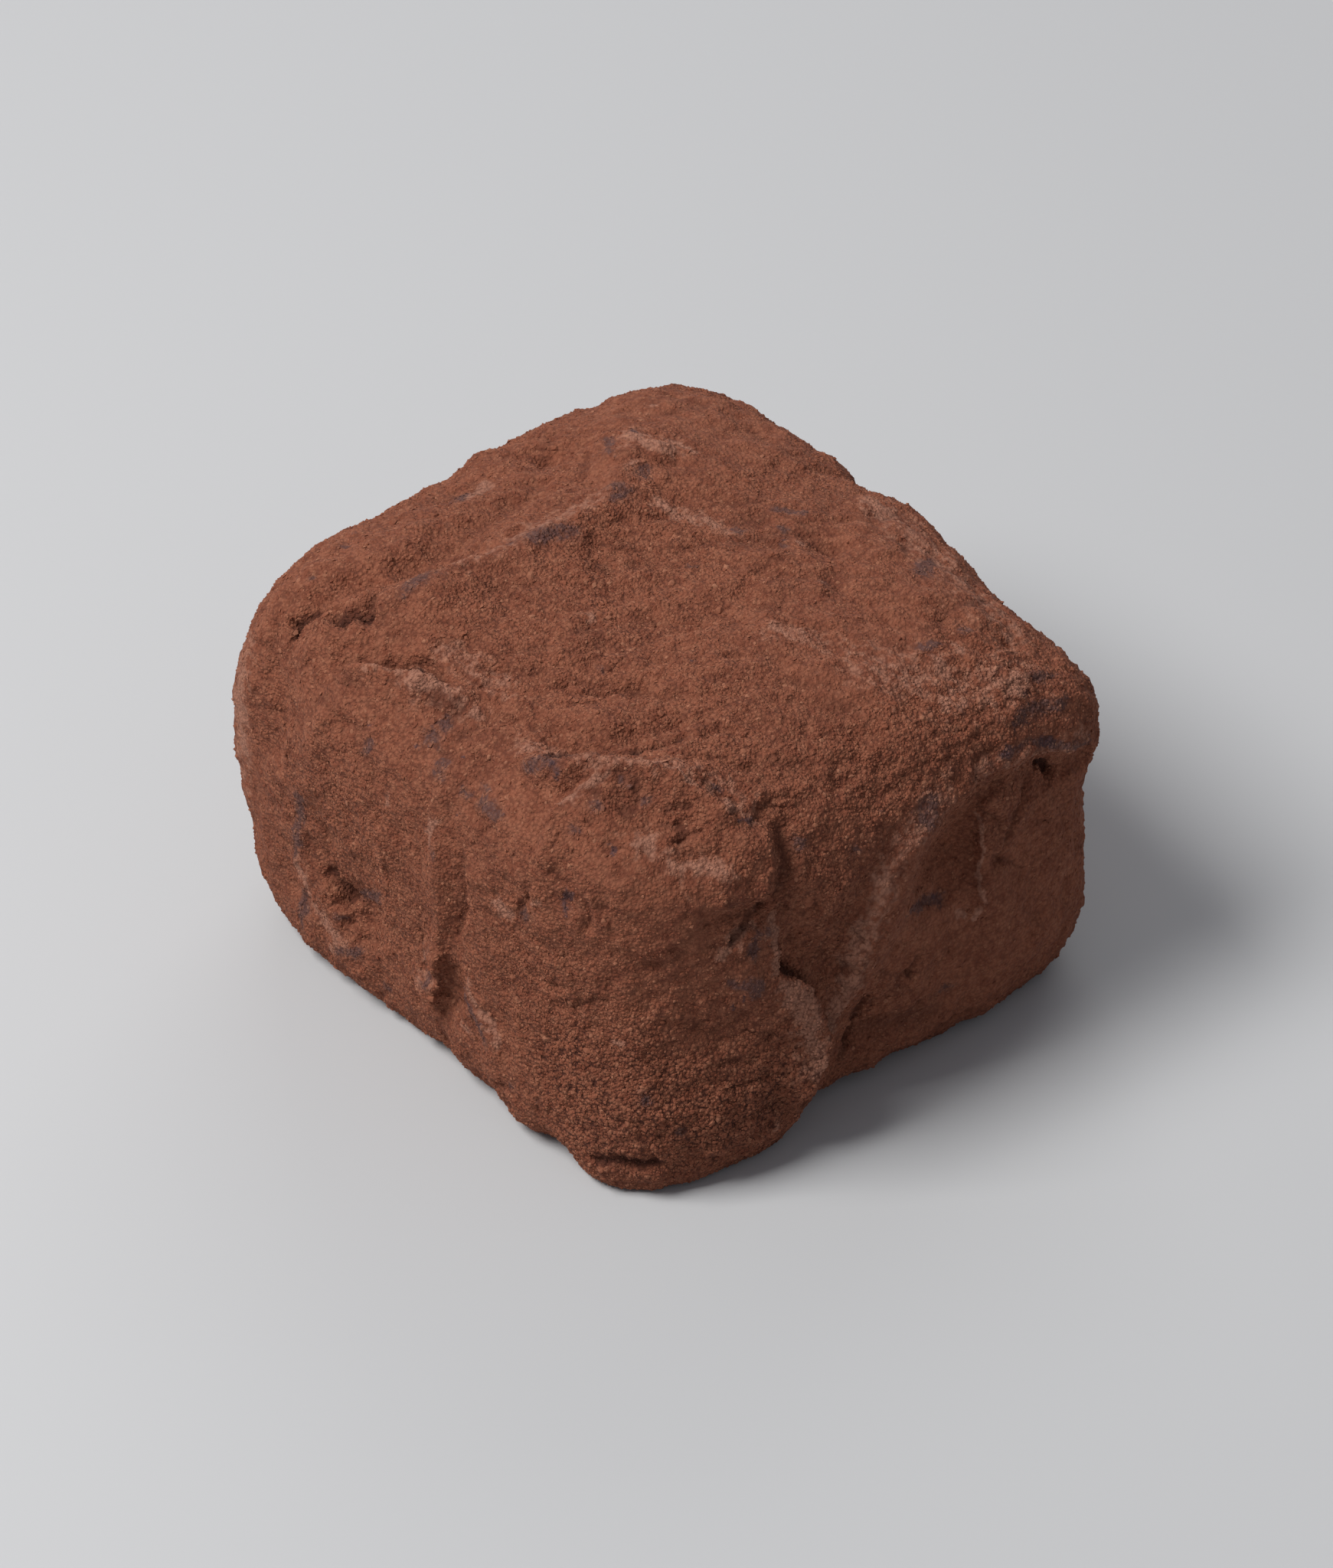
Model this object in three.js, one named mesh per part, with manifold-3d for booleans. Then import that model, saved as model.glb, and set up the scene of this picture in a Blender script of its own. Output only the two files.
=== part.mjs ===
// Cocoa-dusted chocolate truffle: one soft square block of ganache, cut and pressed by hand, on its flat
// base. Millimetres, +Z up, origin at the centre of the base. The front (-Y) and right (+X) sides meet at
// the corner that stands out the most.
import * as THREE from "three";
import { mergeVertices } from "three/addons/utils/BufferGeometryUtils.js";
import { ImprovedNoise } from "three/addons/math/ImprovedNoise.js";
import Module from "manifold-3d";

// The block before its relief: a box whose edges are rounded by two superellipse powers.
const halfWidth = 13.15; // along X
const halfDepth = 12.4; // along Y
const halfHeight = 9.5;
const middleHeight = 7.4; // the block's middle above the base, so its underside is cut away flat
const planPower = 7.2; // higher is squarer seen from above
const sidePower = 4.5; // higher is squarer seen from the side
const gridX = 39;
const gridY = 37;
const gridZ = 26;

// Lumps all over, as two sizes of smooth noise.
const lumps = [
  { size: 4.6, height: 0.22 },
  { size: 2.1, height: 0.1 },
];

const middle = new THREE.Vector3(0, 0, middleHeight);
const share = (length, half, power) => Math.abs(length / half) ** power;
const root = (value, power) => Math.max(value, 0) ** (1 / power);

// How far out a point lies from the block's middle: 1 on its surface.
function blockLevel(p) {
  const plan = share(p.x, halfWidth, planPower) + share(p.y, halfDepth, planPower);
  const rise = share(p.z - middleHeight, halfHeight, sidePower);
  return root(root(plan, planPower / sidePower) + rise, sidePower);
}

// The outward direction of the block's surface, as the slope of its level.
function blockNormal(p) {
  const step = 0.01;
  const slope = (x, y, z) => {
    const offset = new THREE.Vector3(x, y, z).multiplyScalar(step);
    return blockLevel(p.clone().add(offset)) - blockLevel(p.clone().sub(offset));
  };
  return new THREE.Vector3(slope(1, 0, 0), slope(0, 1, 0), slope(0, 0, 1)).normalize();
}

// Points on the block by the side that they lie on. Heights are above the base.
function onTop(x, y) {
  const plan = share(x, halfWidth, planPower) + share(y, halfDepth, planPower);
  const rise = root(1 - root(plan, planPower / sidePower), sidePower);
  return new THREE.Vector3(x, y, middleHeight + halfHeight * rise);
}
function planLeft(z, across, half) {
  const plan = root(1 - share(z - middleHeight, halfHeight, sidePower), sidePower / planPower);
  return root(plan - share(across, half, planPower), planPower);
}
const onFront = (x, z) => new THREE.Vector3(x, -halfDepth * planLeft(z, x, halfWidth), z);
const onBack = (x, z) => new THREE.Vector3(x, halfDepth * planLeft(z, x, halfWidth), z);
const onRight = (y, z) => new THREE.Vector3(halfWidth * planLeft(z, y, halfDepth), y, z);
const onLeft = (y, z) => new THREE.Vector3(-halfWidth * planLeft(z, y, halfDepth), y, z);

// Rises (positive) and hollows (negative), each fading over its reach. A stretch draws one out along a
// direction.
const upright = [0, 0, 1];
const wiped = [0.63, 0.77, 0]; // the way that a palm wiped across the top
const swells = [
  // the tall front corner stands out at its foot and is bevelled at its head
  { at: onRight(-7.5, 3), reach: 3.2, rise: 0.7 },
  { at: onRight(-9, 0.6), reach: 2.0, rise: 0.15 },
  { at: onFront(10.2, 1), reach: 2.4, rise: 0.5 },
  { at: onFront(6.2, 1.2), reach: 1.8, rise: 0.4 },
  { at: onFront(12.2, 10.2), reach: 4.8, rise: -1.8, along: upright, stretch: 1.3 },
  // the right side: a valley beside the front corner, a crest, a hollow, and an undercut base
  { at: onRight(-1.2, 3.6), reach: 1.3, rise: -0.6, along: upright, stretch: 2.4 },
  { at: onRight(0.8, 8), reach: 1.7, rise: 0.3, along: upright, stretch: 2 },
  { at: onRight(3.4, 10.2), reach: 1.6, rise: -0.8, along: upright, stretch: 1.4 },
  { at: onRight(-4.9, 10.1), reach: 0.9, rise: -0.4 },
  { at: onRight(-0.5, 0.3), reach: 1.3, rise: -0.8, along: [0, 1, 0], stretch: 2.4 },
  { at: onRight(6, 3.5), reach: 3.6, rise: 0.35, along: [0, 1, 0], stretch: 1.5 },
  { at: onRight(8.3, 11.4), reach: 1.0, rise: -0.5 },
  // the far right corner: an upper lip, a waist and a lower bulge
  { at: onRight(10.5, 13.6), reach: 2.0, rise: 0.45 },
  { at: onRight(11.5, 9.3), reach: 1.6, rise: -0.35 },
  { at: onRight(11, 5.6), reach: 1.8, rise: -0.2 },
  // the front side: a rounded lobe, and a hollow beside its lower edge
  { at: onFront(-3.2, 12), reach: 4.0, rise: 0.5 },
  { at: onFront(2.0, 4.4), reach: 0.9, rise: -0.45, along: upright, stretch: 1.8 },
  { at: onFront(-7.7, 3.9), reach: 0.8, rise: -0.35, along: upright, stretch: 1.5 },
  { at: onFront(-9.4, 8), reach: 1.7, rise: -0.3, along: upright, stretch: 1.6 },
  { at: onFront(-5, 1), reach: 3.0, rise: 0.25, along: [1, 0, 0], stretch: 1.6 },
  { at: onFront(-12.2, 1.2), reach: 2.6, rise: -0.8 },
  // notches in the front foot
  { at: onFront(0.8, 0.2), reach: 1.1, rise: -0.5 },
  { at: onFront(4.4, 0.4), reach: 1.1, rise: -0.6 },
  { at: onFront(7.6, 0.2), reach: 1.0, rise: -0.4 },
  // the outline of the two far sides
  { at: onTop(-12.2, 2.4), reach: 2.6, rise: 0.4 },
  { at: onBack(1.5, 15), reach: 2.6, rise: 0.35 },
  { at: onBack(7.8, 14.8), reach: 2.4, rise: -0.35 },
  // pits and knobs in the top
  { at: onTop(2.4, 6.5), reach: 0.9, rise: -0.5 },
  { at: onTop(4.7, 5.2), reach: 0.9, rise: -0.35 },
  { at: onTop(-9.7, 2.0), reach: 0.9, rise: -0.5, along: [1, 0.5, 0], stretch: 1.4 },
  { at: onTop(-6.5, 4.6), reach: 1.5, rise: 0.35 },
  { at: onTop(9.8, 9.1), reach: 0.8, rise: -0.35 },
  { at: onTop(10.5, 6.2), reach: 0.8, rise: -0.35 },
  { at: onTop(11.4, 7.8), reach: 1.1, rise: 0.2 },
  // shallow wipe marks in the top
  { at: onTop(5.2, -3.7), reach: 0.8, rise: -0.25, along: wiped, stretch: 2.2 },
  { at: onTop(3.2, -5.2), reach: 0.8, rise: -0.25, along: wiped, stretch: 2.2 },
  { at: onTop(0.4, -8.2), reach: 0.8, rise: -0.25, along: wiped, stretch: 1.6 },
  // the back and left sides, hollowed and lumped by the same fingers
  { at: onBack(-6, 9), reach: 3.2, rise: 0.5 },
  { at: onBack(3.5, 5), reach: 2.2, rise: -0.6, along: upright, stretch: 1.6 },
  { at: onBack(8.5, 3), reach: 2.6, rise: 0.35 },
  { at: onBack(-10.8, 1), reach: 2.4, rise: -0.5 },
  { at: onBack(-1.5, 0.4), reach: 1.1, rise: -0.6, along: [1, 0, 0], stretch: 2 },
  { at: onLeft(4.5, 11), reach: 2.8, rise: 0.4 },
  { at: onLeft(-2.5, 6), reach: 2.0, rise: -0.7, along: upright, stretch: 1.5 },
  { at: onLeft(-8, 3.5), reach: 2.6, rise: 0.35 },
  { at: onLeft(6.5, 0.4), reach: 1.1, rise: -0.6, along: [0, 1, 0], stretch: 2 },
];

// Creases along a path over the block: a groove, and a bank raised on the path's left as seen from outside.
const creases = [
  // the long groove in the top, beside the raised plateau, and the crack that carries on over the edge
  {
    path: [
      onTop(-8.4, 3.2), onTop(-6.9, 1.4), onTop(-6.8, -1.2), onTop(-6.9, -3.4), onTop(-6.7, -6.9),
      onTop(-7.3, -8.4),
    ],
    groove: 0.4, width: 0.9, bank: 0.5, fade: 3.2,
  },
  {
    path: [
      onTop(-7.4, -8.9), onTop(-8.1, -9.8), onFront(-8.5, 14.6), onFront(-7.9, 12.4), onFront(-8.3, 9.8),
    ],
    groove: 0.7, width: 0.85, bank: 0.35, fade: 2,
  },
  // the hooked crease in the top behind the front corner, and the rim of the fold that wraps its head
  {
    path: [onTop(6.5, -5.2), onTop(6, -6.2), onTop(5.6, -7.5), onTop(4.4, -8.7)],
    groove: 0.5, width: 0.85, bank: 0.4, fade: 1.6,
  },
  {
    path: [onTop(10.4, -5), onTop(8.4, -6.4), onTop(7.1, -8.2), onTop(6.5, -9.8), onFront(6.3, 14.2)],
    groove: 0.15, width: 0.85, bank: 0.25, fade: 1.2,
  },
  // the rim of the lobe in the front side
  {
    path: [onTop(-1.6, -9.2), onTop(-2.8, -9.6), onTop(-5, -10.7), onFront(-6.2, 14), onFront(-6.5, 11.5)],
    groove: 0.3, width: 0.85, bank: 0.35, fade: 1.8,
  },
  // the fold between the lobe and the front corner
  {
    path: [
      onFront(1.2, 1.6), onFront(1.5, 3.6), onFront(2, 5.8), onFront(2, 9.5), onFront(1.9, 13),
      onFront(2.5, 15),
    ],
    groove: 0.35, width: 0.9, bank: 0.4, fade: 1.2,
  },
  // the lip near the left foot
  {
    path: [onFront(-3.8, 4.4), onFront(-4.6, 5.2), onFront(-5.3, 6)],
    groove: 0.45, width: 1.1, bank: 0.45, fade: 1.4,
  },
  // the edge of the thick flap that wraps the front corner, and the fold above it
  {
    path: [
      onRight(-3.6, 0.4), onRight(-2.6, 2.2), onRight(-2, 4.2), onRight(-2.9, 6.6), onRight(-3.9, 8.4),
      onRight(-5.2, 9.8),
    ],
    groove: 0.4, width: 0.9, bank: 0.8, fade: 3.2,
  },
  {
    path: [
      onRight(-7.4, 12), onRight(-6.5, 12.6), onRight(-5.5, 13.5), onRight(-4.6, 14.7), onTop(11.8, -4.6),
    ],
    groove: 0.35, width: 0.85, bank: 0.35, fade: 2.2,
  },
  // the edge of the flake in the right side
  {
    path: [onRight(6.2, 12), onRight(5.2, 11.8), onRight(4.8, 10.9), onRight(4.6, 8.5), onRight(4.4, 6.4)],
    groove: 0.15, width: 0.85, bank: 0.4, fade: 1.6,
  },
  // the lip under which the right side sinks back
  {
    path: [
      onRight(-1.2, 10.6), onRight(-0.6, 11.8), onRight(0.8, 12.5), onRight(3.4, 12.8), onRight(6, 12.9),
      onRight(8, 12.5), onRight(11, 11.2),
    ],
    groove: 0.25, width: 1, bank: 0.45, fade: 2,
  },
  // the foot that spread out under the front corner
  {
    path: [onRight(-9.4, 1.8), onRight(-11, 1.7), onFront(11.6, 1.6), onFront(9.8, 1.9)],
    groove: 0.35, width: 0.85, bank: 0.3, fade: 1.2,
  },
  // a fold and a crack in the back side, and the edge of a flap in the left side
  {
    path: [onBack(-2.2, 14.2), onBack(-1.6, 11), onBack(-2.4, 7.5), onBack(-1.8, 4.5)],
    groove: 0.4, width: 0.9, bank: 0.4, fade: 2.4,
  },
  {
    path: [onBack(4.6, 12.8), onBack(7, 12.2), onBack(9.4, 12.6)],
    groove: 0.45, width: 0.85, bank: 0.3, fade: 1.6,
  },
  {
    path: [onLeft(1.2, 13.6), onLeft(0.6, 10.5), onLeft(1.4, 7.2), onLeft(0.9, 3.4), onLeft(2, 0.6)],
    groove: 0.4, width: 0.9, bank: 0.5, fade: 2.6,
  },
  {
    path: [onLeft(-9.6, 11.4), onLeft(-7.6, 12.2), onLeft(-5.4, 11.8)],
    groove: 0.4, width: 0.85, bank: 0.3, fade: 1.6,
  },
];

const relief = new ImprovedNoise();

function gaussian(distance, reach) {
  return Math.exp(-((distance / reach) ** 2));
}

function swellHeight(p, { at, reach, rise, along, stretch = 1 }) {
  const offset = p.clone().sub(at);
  if (along) {
    const axis = new THREE.Vector3(...along).normalize();
    offset.addScaledVector(axis, offset.dot(axis) * (1 / stretch - 1));
  }
  return rise * gaussian(offset.length(), reach);
}

function creaseHeight(p, outward, { path, groove, width, bank = 0, fade = 2 }) {
  let nearest = { distance: Infinity };
  for (let i = 1; i < path.length; i++) {
    const line = new THREE.Line3(path[i - 1], path[i]);
    const foot = line.closestPointToPoint(p, true, new THREE.Vector3());
    const distance = foot.distanceTo(p);
    if (distance < nearest.distance) nearest = { distance, foot, line };
  }
  const run = nearest.line.delta(new THREE.Vector3()).normalize();
  const left = new THREE.Vector3().crossVectors(outward, run);
  const side = p.clone().sub(nearest.foot).dot(left);
  const onBank = THREE.MathUtils.smoothstep(side, -width, width);
  return bank * onBank * gaussian(nearest.distance, fade) - groove * gaussian(nearest.distance, width);
}

function reliefHeight(p, outward) {
  let height = 0;
  for (const lump of lumps) {
    height += lump.height * relief.noise(p.x / lump.size, p.y / lump.size, p.z / lump.size);
  }
  for (const swell of swells) height += swellHeight(p, swell);
  for (const crease of creases) height += creaseHeight(p, outward, crease);
  return height;
}

// A closed box whose corners are shared, ready for manifold-3d.
function closedBox(...sizes) {
  const box = new THREE.BoxGeometry(...sizes);
  box.deleteAttribute("normal");
  box.deleteAttribute("uv");
  return mergeVertices(box);
}

function blockGeometry() {
  const geometry = closedBox(2 * halfWidth, 2 * halfDepth, 2 * halfHeight, gridX, gridY, gridZ);
  geometry.translate(0, 0, middleHeight);
  const position = geometry.getAttribute("position");
  for (let i = 0; i < position.count; i++) {
    const p = new THREE.Vector3().fromBufferAttribute(position, i);
    p.lerpVectors(middle, p, 1 / blockLevel(p));
    const outward = blockNormal(p);
    p.addScaledVector(outward, reliefHeight(p, outward));
    position.setXYZ(i, p.x, p.y, p.z);
  }
  return geometry;
}

const wasm = await Module();
wasm.setup();

function solidOf(geometry) {
  const vertProperties = new Float32Array(geometry.getAttribute("position").array);
  const triVerts = new Uint32Array(geometry.index.array);
  return new wasm.Manifold(new wasm.Mesh({ numProp: 3, vertProperties, triVerts }));
}

function geometryOf(solid) {
  const mesh = solid.getMesh();
  const geometry = new THREE.BufferGeometry();
  geometry.setAttribute("position", new THREE.BufferAttribute(mesh.vertProperties, 3));
  geometry.setIndex(new THREE.BufferAttribute(mesh.triVerts, 1));
  return geometry;
}

// The tray that the soft block settled on: whatever would reach below it is pressed flat.
const trayDepth = 10;
const tray = closedBox(4 * halfWidth, 4 * halfDepth, trayDepth).translate(0, 0, -trayDepth / 2);
const settled = geometryOf(solidOf(blockGeometry()).subtract(solidOf(tray)));
settled.computeBoundingBox();
const { min, max } = settled.boundingBox;
settled.translate(-(min.x + max.x) / 2, -(min.y + max.y) / 2, 0);
settled.computeVertexNormals();

const cocoa = new THREE.MeshStandardMaterial({ color: 0x6f4535, roughness: 0.95, metalness: 0 });
const truffle = new THREE.Mesh(settled, cocoa);
truffle.name = "truffle";

const part = new THREE.Group();
part.add(truffle);
export default part;
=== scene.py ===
"""A chocolate truffle: a soft square block of ganache, cut and pressed by hand, then rolled in cocoa."""

import math

import bmesh
import bpy
import numpy as np
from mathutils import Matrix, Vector, noise
from mathutils.bvhtree import BVHTree


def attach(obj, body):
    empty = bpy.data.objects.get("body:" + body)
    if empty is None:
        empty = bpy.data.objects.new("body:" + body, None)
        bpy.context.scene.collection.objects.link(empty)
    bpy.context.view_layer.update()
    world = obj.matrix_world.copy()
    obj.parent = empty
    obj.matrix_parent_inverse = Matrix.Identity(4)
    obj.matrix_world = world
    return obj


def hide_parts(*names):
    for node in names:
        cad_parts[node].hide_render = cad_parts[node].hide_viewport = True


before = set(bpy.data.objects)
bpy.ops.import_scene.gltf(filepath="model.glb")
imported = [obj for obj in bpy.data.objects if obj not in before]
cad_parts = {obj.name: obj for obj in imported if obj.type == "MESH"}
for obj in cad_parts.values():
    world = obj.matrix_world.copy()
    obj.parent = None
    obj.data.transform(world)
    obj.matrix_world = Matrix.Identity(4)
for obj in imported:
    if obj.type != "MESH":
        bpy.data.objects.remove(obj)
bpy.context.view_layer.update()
scene = bpy.context.scene
mm = 0.001

# ---- The coated block --------------------------------------------------------------------------------
# Ganache cut into a square and pressed by hand, with cocoa stuck all over it. The coat keeps the solid's own
# form, drawn finely enough to take the marks of the fingers and the knife and the clumps of the powder.
skin_spacing = 0.185  # mm between the points of the skin
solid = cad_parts["truffle"]
coat = bpy.data.objects.new("cocoa_coat", solid.data.copy())
scene.collection.objects.link(coat)


def edit_mesh(piece, change):
    shape = bmesh.new()
    shape.from_mesh(piece.data)
    change(shape)
    shape.to_mesh(piece.data)
    shape.free()


weld_reach = 0.001 * mm
edit_mesh(coat, lambda shape: bmesh.ops.remove_doubles(shape, verts=shape.verts, dist=weld_reach))
soften = coat.modifiers.new("soften", "SUBSURF")
soften.levels = soften.render_levels = 1
redraw = coat.modifiers.new("redraw", "REMESH")
redraw.mode = "VOXEL"
redraw.voxel_size = skin_spacing * mm
redraw.use_smooth_shade = True


def apply_modifiers(piece):
    bpy.context.view_layer.update()
    finished = bpy.data.meshes.new_from_object(piece.evaluated_get(bpy.context.evaluated_depsgraph_get()))
    piece.modifiers.clear()
    piece.data = finished


apply_modifiers(coat)


def settle(shape):
    """Evens out the skin, and makes one flat face of the middle of the underside."""
    passes = 2
    for _ in range(passes):
        bmesh.ops.smooth_vert(
            shape, verts=shape.verts, factor=0.5, use_axis_x=True, use_axis_y=True, use_axis_z=True
        )
    base_height = 0.1 * mm
    straight_down = -0.99  # the most that the upward part of a normal is there
    inner = [v for v in shape.verts if v.co.z < base_height and v.normal.z < straight_down]
    inner = {v for v in inner if all(e.other_vert(v).normal.z < straight_down for e in v.link_edges)}
    faces = [f for f in shape.faces if all(v in inner for v in f.verts)]
    bmesh.ops.dissolve_faces(shape, faces=faces, use_verts=True)


edit_mesh(coat, settle)


def read_values(items, name, size):
    values = np.empty(len(items) * size, np.float32)
    items.foreach_get(name, values)
    return values.reshape(-1, size).astype(float)


skin = BVHTree.FromPolygons(
    [v.co / mm for v in coat.data.vertices], [tuple(f.vertices) for f in coat.data.polygons]
)
afar = 40  # mm, from where the sides are looked at


def seen(start, along):
    return np.array(skin.ray_cast(Vector(start), Vector(along))[0])


def top(x, y):
    """The point of the block's top above x, y, in mm. The four that follow find points of its sides."""
    return seen((x, y, afar), (0, 0, -1))


def front(x, z):
    return seen((x, -afar, z), (0, 1, 0))


def back(x, z):
    return seen((x, afar, z), (0, -1, 0))


def right(y, z):
    return seen((afar, y, z), (-1, 0, 0))


def left(y, z):
    return seen((-afar, y, z), (1, 0, 0))


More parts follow.
